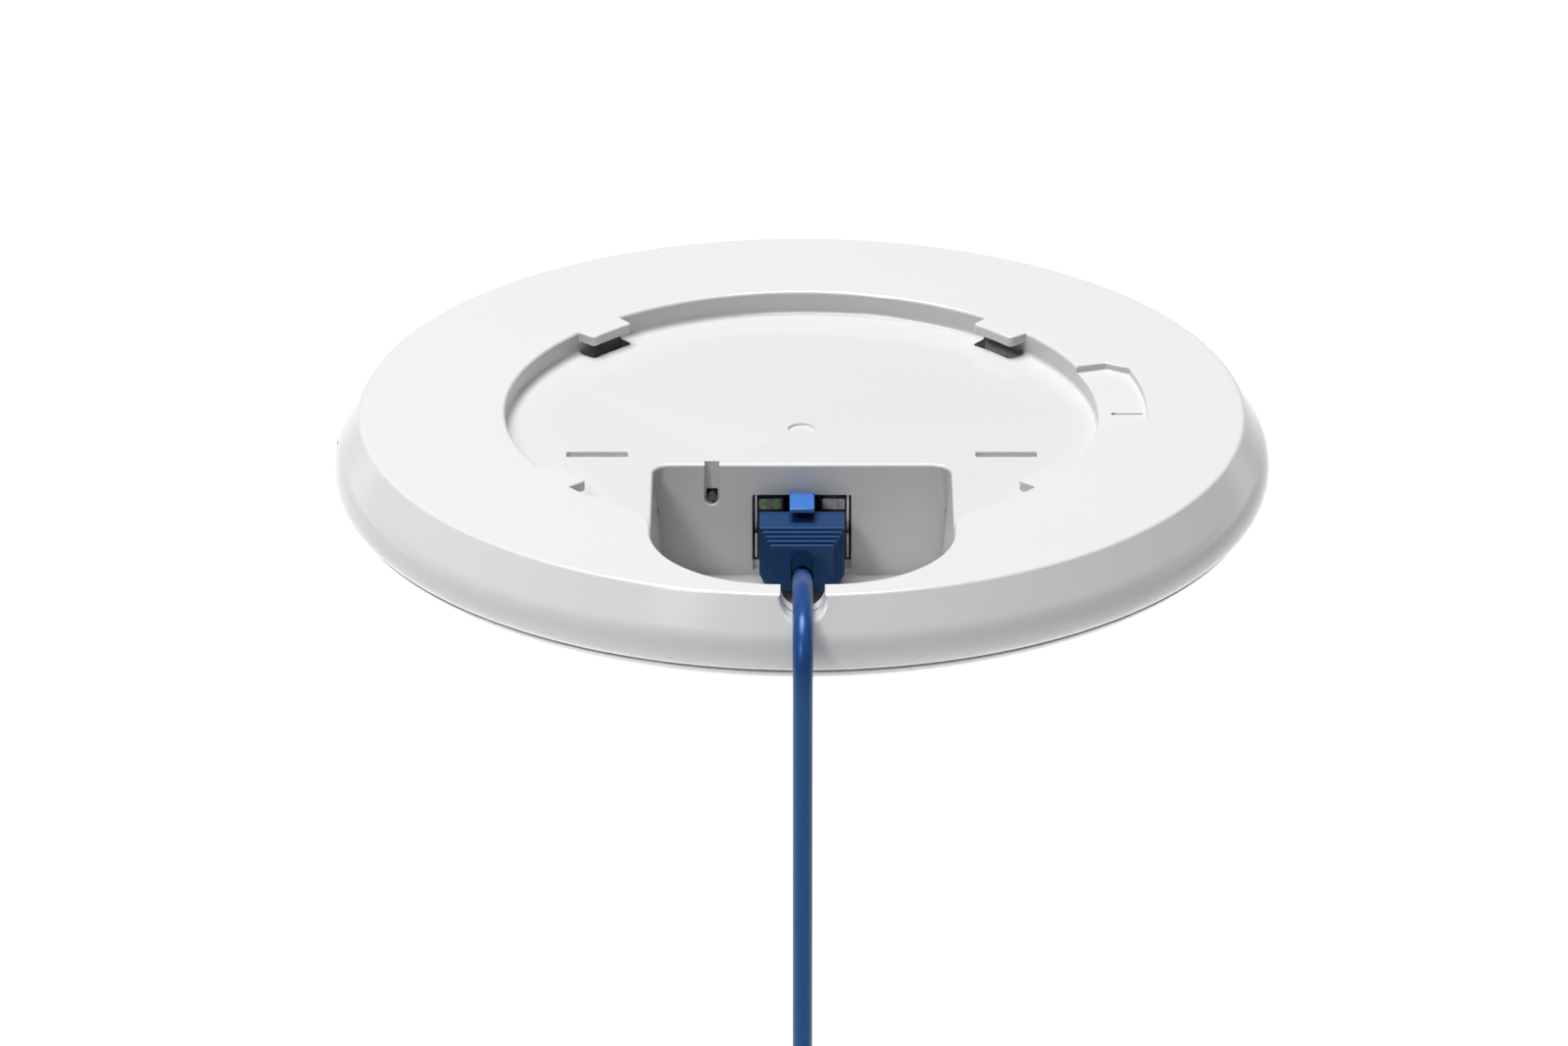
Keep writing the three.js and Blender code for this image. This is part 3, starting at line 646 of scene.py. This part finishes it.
def opening_outline(grow=0.0):
    """The recess and the port bay as one opening."""
    x = BAY_HALF + BAY_FILLET
    y = -math.sqrt((RECESS_R + BAY_FILLET) ** 2 - x ** 2)
    meet = math.degrees(math.atan2(y, x))
    fillet = BAY_FILLET - grow
    return (
        arc(0, 0, RECESS_R + grow, meet, 180 - meet, 180)
        + arc(-x, y, fillet, -meet, 0, 14)[1:]
        + bay_front(grow)
        + arc(x, y, fillet, 180, 180 + meet, 14)[:-1]
    )


def bay_outline(grow=0.0, back_grow=0.0, corner=BAY_BACK_CORNER):
    """The port bay seen from above."""
    half = BAY_HALF + grow
    back = BAY_BACK + back_grow
    r = corner + grow
    side_steps = 12
    side_start = BAY_FRONT + BAY_FRONT_CORNER
    side_length = back - r - BAY_FRONT - BAY_FRONT_CORNER
    side = [(half, side_start + side_length * i / side_steps) for i in range(1, side_steps)]
    other_side = [(-x, y) for x, y in reversed(side)]
    return (
        side
        + arc(half - r, back - r, r, 0, 90, 8)
        + arc(-half + r, back - r, r, 90, 180, 8)
        + other_side
        + bay_front(grow)
    )


def sector(inner, outer, centre, span, corner):
    """A piece of a ring with rounded inner corners, its centre and span in degrees."""
    straight = 3
    a = centre - span / 2
    b = centre + span / 2
    turn = math.degrees(corner / inner)
    line = arc(0, 0, outer, a, b, 8)
    middle = (*polar(inner, centre), 0)
    near_b = rounded([(*polar(inner + straight, b), 0), (*polar(inner, b), corner), middle])
    near_a = rounded([middle, (*polar(inner, a), corner), (*polar(inner + straight, a), 0)])
    inside = arc(0, 0, inner, b - 1.4 * turn, a + 1.4 * turn, 6)
    return line + near_b[1:-1] + inside + near_a[1:-1]


# ---------------------------------------------------------------- rear casing
def casing_skin():
    """The turned shell: the flat rim, the bevelled side down to the seam, and the inner face."""
    edge = 0.8
    turn = math.atan2(CONE[0] - RIM_R, -CONE[1])
    start = RIM_R - edge * math.tan((math.pi / 2 - turn) / 2)
    profile = [(r, 0) for r in (0, 20, 45, 60)]
    profile += arc(start, -edge, edge, 90, math.degrees(turn), 6)
    profile += [CONE]
    # The side swells to its widest line, then turns in to the seam.
    profile += curve(CONE, (79.5, -6.42), (80, -7.7), WIDEST, 8)
    profile += curve(WIDEST, (80, -10.4), (79.7, -11.4), (79.0, -11.85), 8)
    profile += [(78.85, -12.02), SEAM]
    profile += [
        (SEAM[0] - 1.8, SEAM[1]),
        (WIDEST[0] - WALL, WIDEST[1]),
        (CONE[0] - WALL, CONE[1]),
        (RIM_R - WALL, -WALL),
        (0, -WALL),
    ]
    return revolve(profile, 256, "rear_casing_shell")


def bay_cutter():
    """The port bay: drafted side walls, corners that tighten downwards, and a rounded top edge."""
    draft = math.tan(BAY_DRAFT)
    edge = 0.6
    corner, deep = BAY_BACK_CORNER, BAY_DEEP_CORNER
    floor_sink = 1
    tight_z, easing_z = -12, -7.5
    lip_from, lip_run = -50, 5
    levels = [
        (BAY_FLOOR - floor_sink, -draft * (RECESS_Z - BAY_FLOOR), 0, deep),
        (tight_z, -draft * (RECESS_Z - tight_z), 0, deep),
        (easing_z, -draft * (RECESS_Z - easing_z), 0, (corner + deep) / 2),
    ]
    levels += [(z, 0, offset, corner) for z, offset in flare(RECESS_Z + PAST, edge)]
    levels += [(RECESS_Z + 1, 0, 0, corner)]
    sections = []
    for z, lean, lip, corner_r in levels:
        outline = bay_outline(corner=corner_r)
        section = []
        for (x, y), n in zip(outline, normals(outline)):
            share = min(1, max(0, (y - lip_from) / lip_run))
            section.append((x + n.x * (lean + lip * share), y + n.y * lip * share, z))
        sections.append(section)
    return keep(loft(sections), above_dome(BAY_FLOOR_INSET, 2))


def notch_cutter():
    """The U through the rim for the lead, rounded where it meets the bay and the bevelled side."""
    top = 2.0
    middle = -NOTCH_DEPTH + NOTCH_HALF
    outline = arc(0, middle, NOTCH_HALF, 180, 360, 28) + [(NOTCH_HALF, top), (-NOTCH_HALF, top)]
    out = normals(outline)
    lean = (CONE[0] - RIM_R) / CONE[1]
    inner_lip, outer_lip = 0.45, 0.6
    sections = []

    def section(offset, depth_of):
        grown = [(x + n.x * offset, z + n.y * offset) for (x, z), n in zip(outline, out)]
        sections.append([(x, depth_of(x, z), z) for x, z in grown])

    section(inner_lip, lambda x, z: BAY_FRONT + 2)
    for level, offset in reversed(flare(0, inner_lip)):
        section(offset, lambda x, z: BAY_FRONT - level)
    for level, offset in [*flare(0, outer_lip), (6, outer_lip)]:
        def side_face(x, z):
            return -math.sqrt((RIM_R + lean * min(z, 0)) ** 2 - x ** 2) - level
        section(offset, side_face)
    return loft(sections)


def notch_groove():
    """A fine groove round the lower half of the notch."""
    clear_of_notch = 0.8
    front, back = -74.1, -73.7
    middle = -NOTCH_DEPTH + NOTCH_HALF
    outline = arc(0, middle, NOTCH_HALF + clear_of_notch, 205, 335, 24)
    return along_y(outline, [(front, 0), (back, 0)])


def reset_cutters():
    """The groove down the bay's rear wall, and the flat-topped hole for the button at its foot."""
    depth, lip = 1.7, 0.3
    back = BAY_BACK + depth
    hole_top = RESET_Z + 1.15
    mouth_lip = 0.2

    def slot(r, top):
        return arc(RESET_X, RESET_Z, r, 180, 360, 20) + [(RESET_X + r, top), (RESET_X - r, top)]

    front = [(2 * BAY_BACK - level, offset) for level, offset in flare(BAY_BACK, lip)]
    channel = along_y(slot(RESET_GROOVE_R, 1), [(BAY_BACK - 1.5, lip), *reversed(front), (back, 0)])
    hole = along_y(slot(RESET_HOLE_R, hole_top), [(back - 0.5, 0), (BAY_BACK + BAY_BACK_WALL + 1, 0)])
    half = RESET_GROOVE_R
    mouth = stack(rectangle(RESET_X - half, RESET_X + half, BAY_BACK - 2, back, 0.1),
                  [*flare(RECESS_Z + PAST, mouth_lip, 4), (0, mouth_lip)])
    return [channel, hole, mouth]


def pocket_cutters():
    """The shallow lock pocket beside the recess, with its slit and dot."""
    outer, depth, edge = 59.0, 1.2, 0.25
    inside_recess = RECESS_R - 2
    near_y = -4.4
    arc_start = math.degrees(math.asin(near_y / outer))
    arc_end, corner_angle, far_angle = 16.7, 20.1, 20.4
    corner_r = 55.9
    slit_start, slit_end = 53.3, 58.3
    through = (-WALL - 1, 0)
    line = [(inside_recess, near_y)] + arc(0, 0, outer, arc_start, arc_end, 14)
    line += [polar(corner_r, corner_angle), polar(inside_recess, far_angle)]
    pocket = stack(line, [*foot(-depth, edge, 3), *flare(PAST, edge, 4), (1, edge)])
    slit = stack(rectangle(slit_start, slit_end, -0.25, 0.15), [(z, 0) for z in through])
    dot = post(slit_start, -0.05, through, 0.45, 24)
    return [pocket, slit, dot]


def lug(angle):
    """A lug that reaches from the recess wall over its floor."""
    edge = 0.35
    chamfer = 0.1
    root, corner = 1.6, 0.9
    levels = [(-LUG_T, -chamfer), (-LUG_T + chamfer, 0)]
    levels += [(-edge + edge * math.sin(t), -edge * (1 - math.cos(t))) for t in (0, 0.35, 0.7, 1.05, 1.4)]
    levels += [(0, -edge)]
    return stack(sector(LUG_INNER_R, RECESS_R + root, angle, LUG_SPAN, corner), levels)


def bridge():
    """The solid under the rim that the notch runs through, shaped to stay inside the bevelled side."""
    half, front, back = 7, -78.6, -71.8
    top, bottom = -0.5, -9
    stock = stack(rectangle(-half, half, front, back), [(FLOOR_BOTTOM, 0), (-1, 0)])
    inside = [(0, top), (RIM_R, top), (CONE[0] - 0.2, CONE[1]), (79.5, -7.1), (79.7, bottom), (0, bottom)]
    return keep(stock, revolve(inside, 128))


def jack_window_cutters():
    """The jack's window, its edge eased, and the shallow step between the window and the bay's floor."""
    ease = 0.12
    step_depth = 0.7
    window = along_y(rectangle(-WINDOW_HALF, WINDOW_HALF, WINDOW_BOTTOM, WINDOW_TOP, 0.25),
                     [(BAY_BACK - 1, ease), (BAY_BACK, ease), (BAY_BACK + ease, 0), (BAY_BACK + 4, 0)])
    step = along_y(rectangle(-WINDOW_HALF, WINDOW_HALF, BAY_FLOOR, WINDOW_BOTTOM + 0.3),
                   [(BAY_BACK - 1, 0), (BAY_BACK + step_depth, 0)])
    return [window, step]


def centre_dimple():
    """The shallow dimple in the middle of the recess."""
    bottom = RECESS_Z - DIMPLE_DEPTH
    side = [(DIMPLE_R - 0.2, bottom), (DIMPLE_R, RECESS_Z + PAST), (DIMPLE_R, 0)]
    return revolve([(0, bottom), *side, (0, 0)], 64)


def floor_slot(side):
    """A blind slot in the recess floor, left or right of its middle."""
    middle = side * FLOOR_SLOT_X
    ease = 0.12
    outline = rectangle(middle - FLOOR_SLOT_HALF, middle + FLOOR_SLOT_HALF, *FLOOR_SLOT_Y, 0.25)
    return stack(outline, [(RECESS_Z - FLOOR_SLOT_DEPTH, 0), (RECESS_Z - 0.15, 0),
                           (RECESS_Z + PAST, ease), (0, ease)])


def rear_casing():
    """The whole moulding: the skin with its recess, port bay and notch, and the lugs put back in."""
    casing = casing_skin()
    tub = stack(bay_outline(BAY_WALL, BAY_BACK_WALL), [(BAY_FLOOR - BAY_WALL, 0), (-1, 0)])
    keep(tub, above_dome(BAY_UNDERSIDE_INSET, 1))
    well = stack(opening_outline(WALL), [(FLOOR_BOTTOM, 0), (-1, 0)])
    join(casing, well, tub, bridge())

    foot_r, edge = 0.8, 0.6
    opening = stack(opening_outline(), [*foot(RECESS_Z, foot_r), *flare(PAST, edge), (1, edge)])
    cut(casing, opening, bay_cutter(), notch_cutter(), notch_groove(), *reset_cutters(),
        *pocket_cutters())
    cut(casing, *jack_window_cutters())
    cut(casing, centre_dimple())
    for angle in LUG_ANGLES:
        join(casing, lug(angle))
    for angle in LUG_ANGLES:
        under_lug = sector(LUG_INNER_R, RECESS_R, angle, LUG_SPAN, 0.8)
        cut(casing, stack(under_lug, [(FLOOR_BOTTOM - 1, 0), (-LUG_T, 0)]))
    for side in (-1, 1):
        cut(casing, floor_slot(side))
    pry_slot = stack(rectangle(-82, -78.7, -2.4, 0.4), [(-7, 0), (-6.2, 0)])
    return cut(casing, pry_slot)


done(rear_casing(), "rear_casing_shell", CASING, "access_point",
     ["rear_casing", "port_bay"])


# ---------------------------------------------------------------- front dome
def front_dome():
    """The dome: its outer cap, the curl up to the seam, the lip inside the casing and the inner cap."""
    top = SEAM[1] - SEAM_GAP
    steps = 28
    outer = [(DOME_EDGE_R * i / steps, cap_z(DOME_EDGE_R * i / steps, 0)) for i in range(steps + 1)]
    slope = DOME_EDGE_R / (SPHERE_Z - cap_z(DOME_EDGE_R, 0))
    reach = 1.6
    first = (DOME_EDGE_R + reach, outer[-1][1] + reach * slope)
    outer += curve(outer[-1], first, (78.2, -13.8), (SEAM[0] - 0.12, top - 0.15), 10)
    outer += [(SEAM[0] - 0.25, top)]
    lip = [(76.4, top), (76.4, -9.2), (76.2, -9), (75.1, -9), (74.9, -9.2), (74.6, -13.6)]
    inner_r = DOME_EDGE_R - 2
    inner = [(inner_r * i / steps, cap_z(inner_r * i / steps, WALL)) for i in range(steps, -1, -1)]
    dome = revolve(outer + lip + inner, 256, "front_dome_shell")
    return cut(dome, post(0, STATUS_LIGHT_Y, (-32, -15), STATUS_LIGHT_HOLE_R, 48))


done(front_dome(), "front_dome_shell", DOME, "access_point", ["front_dome"])


# ---------------------------------------------------------------- plug boots and latches
def plug_boot():
    """In the plug's own frame: the lead leaves at the origin and +Y points at the nose."""
    rib = 0.9
    rib_halves = [(5.45, 4.15), (5.95, 4.55), (6.4, 4.95), (6.8, 5.35)]
    groove, groove_floor, groove_depth = 0.16, 0.12, 0.3
    inner_end, half_x, half_z, chamfer = 10.6, 7.22, 5.8, 0.3
    shape = []

    def edge(y, x, z, r):
        """A rounded front edge, then the straight run behind it."""
        for t in (0, 0.4, 0.8, 1.2, math.pi / 2):
            shape.append((y + r * (1 - math.cos(t)), x - r * (1 - math.sin(t)), z - r * (1 - math.sin(t))))

    for i, (x, z) in enumerate(rib_halves):
        edge(rib * i, x, z, 0.14)
        shape.append((rib * (i + 1) - groove, x, z))
        shape.append((rib * (i + 1) - groove_floor, x - groove_depth, z - groove_depth))
    start = rib * len(rib_halves)
    edge(start, half_x, half_z, 0.3)
    shape += [(inner_end - chamfer, half_x, half_z), (inner_end, half_x - chamfer, half_z - chamfer)]
    sections = []
    # From this far below the middle, the sides lean inwards.
    corner_z = 2.9
    lean = 0.49
    r = 0.4
    for y, x, z in shape:
        low_x = x - lean * (z - corner_z)
        outline = rounded([(-low_x, -z, r), (low_x, -z, r), (x, -corner_z, r), (x, z, r), (-x, z, r),
                           (-x, -corner_z, r)])
        sections.append([(px, y, pz) for px, pz in outline])
    boot = loft(sections, "boot")
    plug_space = stack(rectangle(-6.15, 6.15, 4, 12), [(-3.7, 0), (3.5, 0)])
    drop = EXIT_Z - JACK_Z
    hole_r = CABLE_R + 0.15
    lead_hole = rod(0, (-1, 5), drop, hole_r, 32)
    relief_rise, relief_depth, ease = 2.9, 0.5, 0.1
    relief_outline = arc(0, drop, hole_r, 180, 360, 16)
    relief_outline += arc(0, drop + relief_rise, hole_r, 0, 180, 16)
    relief = along_y(relief_outline, [(-1, ease), (0, ease), (relief_depth, 0)])
    return cut(boot, plug_space, relief, lead_hole)


def plug_latch():
    """A springy arm that ends in a raised thumb tab with two small ears at its back corners."""
    # The side view, as (Y, Z, corner radius).
    side = rounded([
        (23.4, 3.5, 0), (23.4, 4.7, 0.3), (14, 7.1, 3), (12.35, 7.4, 0.5), (11.6, 8.75, 0.25),
        (LATCH_END, 8.2, 0.2), (LATCH_END, 7.42, 0.2), (10.6, 7.0, 0.8), (14, 5.9, 3), (21.1, 3.5, 0),
    ], 6)
    out = normals(side)
    half = 2.1
    edge, shoulder = 0.18, 0.05
    sections = []
    for x, offset in ((-half, -edge), (-half + shoulder, -shoulder), (-half + edge, 0), (half - edge, 0),
                      (half - shoulder, -shoulder), (half, -edge)):
        sections.append([(x, y + n.x * offset, z + n.y * offset) for (y, z), n in zip(side, out)])
    latch = loft(sections, "latch")
    ear = 0.17
    for x in (-half + ear, half - ear):
        join(latch, block((x - ear, x + ear), (11.2, 12), (7.6, 8.95), 0.08))
    return latch


def place_near(piece):
    """Moves a piece from the plug's own frame to the plug in the jack."""
    piece.data.transform(Matrix.Translation((0, BOOT_END, JACK_Z)))
    return piece


def place_far(piece):
    """Moves a piece to the plug that hangs from the coil, its nose down."""
    spot = Matrix.Translation((OUTER_TURN, LEAD_Y + 2 * TURN_GAP + JACK_Z - EXIT_Z, TAIL_END))
    piece.data.transform(spot @ Matrix.Rotation(-math.pi / 2, 4, "X"))
    return piece


def strap():
    """The hook-and-loop strap round the spare turns: a flat loop, its free end laid over itself."""
    x0, x1 = -OUTER_TURN - 3.3, -12.0
    y0, y1 = LEAD_Y + TURN_GAP - 7, LEAD_Y + TURN_GAP + 7
    half_width = 5.0
    thick = 1.0
    corner, inner_corner = 3.4, 2.4
    edge = 0.2
    bottom, top = COIL_Z - half_width, COIL_Z + half_width
    levels = [(bottom, -edge), (bottom + edge, 0), (top - edge, 0), (top, -edge)]
    loop = stack(rectangle(x0, x1, y0, y1, corner, 8), levels)
    hole = stack(rectangle(x0 + thick, x1 - thick, y0 + thick, y1 - thick, inner_corner, 8),
                 [(bottom - 1, 0), (top + 1, 0)])
    cut(loop, hole)
    tongue = block((x0 + 4, x1 - 3.2), (y0 - 0.02, y0 + thick * 1.6), (bottom + 0.4, top - 0.4), edge)
    return join(loop, tongue)


done(place_near(plug_boot()), "plug_boot_moulding", BOOT, "plug", ["plug_boot"])
done(place_far(plug_boot()), "far_plug_boot_moulding", BOOT, "access_point", ["far_plug_boot"])
done(place_near(plug_latch()), "plug_latch_tab", LATCH, "latch", ["plug_latch"])
done(place_far(plug_latch()), "far_plug_latch_tab", LATCH, "far_latch", ["far_plug_latch"])
done(strap(), "coil_strap", FABRIC, "access_point", ["coil_tie"])
lead()

# ---------------------------------------------------------------- pieces kept from the CAD model
FINISHES = {
    "main_board": BOARD, "heat_spreader": SPREADER, "processor": CHIP, "thermal_pad": PAD,
    "memory_chip": CHIP, "radio_shield_left": TIN, "radio_shield_right": TIN,
    "network_transformer": CHIP, "power_transformer": TAPE, "power_inductor": FERRITE,
    "power_capacitor_1": SLEEVE, "power_capacitor_2": SLEEVE, "status_led": LENS,
    "status_light_pipe": PIPE, "jack_housing": JACK_BLACK, "jack_shield": JACK_METAL,
    "jack_contacts": GOLD, "jack_light_left": LIGHT_GREEN, "jack_light_right": LIGHT_GREY,
    "reset_switch": CHIP, "reset_button": BUTTON, "plug_body": CLEAR, "plug_contacts": GOLD,
    "far_plug_body": CLEAR, "far_plug_contacts": GOLD,
}
for number in (1, 2, 3, 4):
    FINISHES[f"antenna_{number}"] = AERIAL
    FINISHES[f"board_screw_{number}"] = STEEL
for number in (1, 2):
    FINISHES[f"spreader_screw_{number}"] = STEEL


def refine(name, finish, edge=0.00012):
    """Gives a CAD node rounded edges, soft shading and its finish, without changing its mesh."""
    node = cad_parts[name]
    weld = node.modifiers.new("weld", "WELD")
    weld.merge_threshold = 1e-6
    flat = node.modifiers.new("flat", "DECIMATE")
    flat.decimate_type = "DISSOLVE"
    flat.angle_limit = math.radians(1)
    bevel = node.modifiers.new("edges", "BEVEL")
    bevel.width = edge
    bevel.segments = 2
    bevel.limit_method = "ANGLE"
    bevel.angle_limit = math.radians(35)
    bevel.harden_normals = True
    node.data.materials.clear()
    node.data.materials.append(finish)


for node_name, node_finish in FINISHES.items():
    refine(node_name, node_finish)

# ---------------------------------------------------------------- floor and light
FLOOR_Z = -0.3
floor_finish = material("floor", (0.9, 0.9, 0.9), 0.8, blotch=0.0, grain_depth=0.0, edge_wear_and_highlight=0.0)
floor_glow = floor_finish.node_tree.nodes["Principled BSDF"].inputs
floor_glow["Emission Color"].default_value = (1, 1, 1, 1)
floor_glow["Emission Strength"].default_value = 0.32
bpy.ops.mesh.primitive_plane_add(size=12, location=(0, 0, FLOOR_Z))
floor = bpy.context.object
floor.name = "floor"
floor.data.materials.append(floor_finish)


def area_light(name, place, size, power):
    """A round soft light that points at the part."""
    data = bpy.data.lights.new(name, "AREA")
    data.shape = "DISK"
    data.size = size
    data.energy = power
    light = bpy.data.objects.new(name, data)
    light.location = place
    light.rotation_euler = (-Vector(place)).to_track_quat("-Z", "Y").to_euler()
    scene.collection.objects.link(light)


area_light("overhead", place=(-0.22, 0.28, 1.6), size=1.1, power=47)
area_light("key", place=(-0.62, -0.88, 1.04), size=0.35, power=6.7)


def sky():
    """A white studio backdrop: white below and along the horizon, dim above."""
    bright_to, dim_from = 0.03, 0.08
    dim = 0.06
    world = bpy.data.worlds.new("studio")
    world.use_nodes = True
    nodes = world.node_tree.nodes
    links = world.node_tree.links
    place = nodes.new("ShaderNodeTexCoord")
    split = nodes.new("ShaderNodeSeparateXYZ")
    ramp = nodes.new("ShaderNodeValToRGB")
    links.new(place.outputs["Generated"], split.inputs["Vector"])
    links.new(split.outputs["Z"], ramp.inputs["Fac"])
    stops = ramp.color_ramp.elements
    stops[0].position = 0.0
    stops[0].color = (1, 1, 1, 1)
    stops[1].position = 1.0
    stops[1].color = (dim, dim, dim, 1)
    for position, level in ((bright_to, 1.0), (dim_from, dim)):
        stop = stops.new(position)
        stop.color = (level, level, level, 1)
    links.new(ramp.outputs["Color"], nodes["Background"].inputs["Color"])
    scene.world = world


sky()
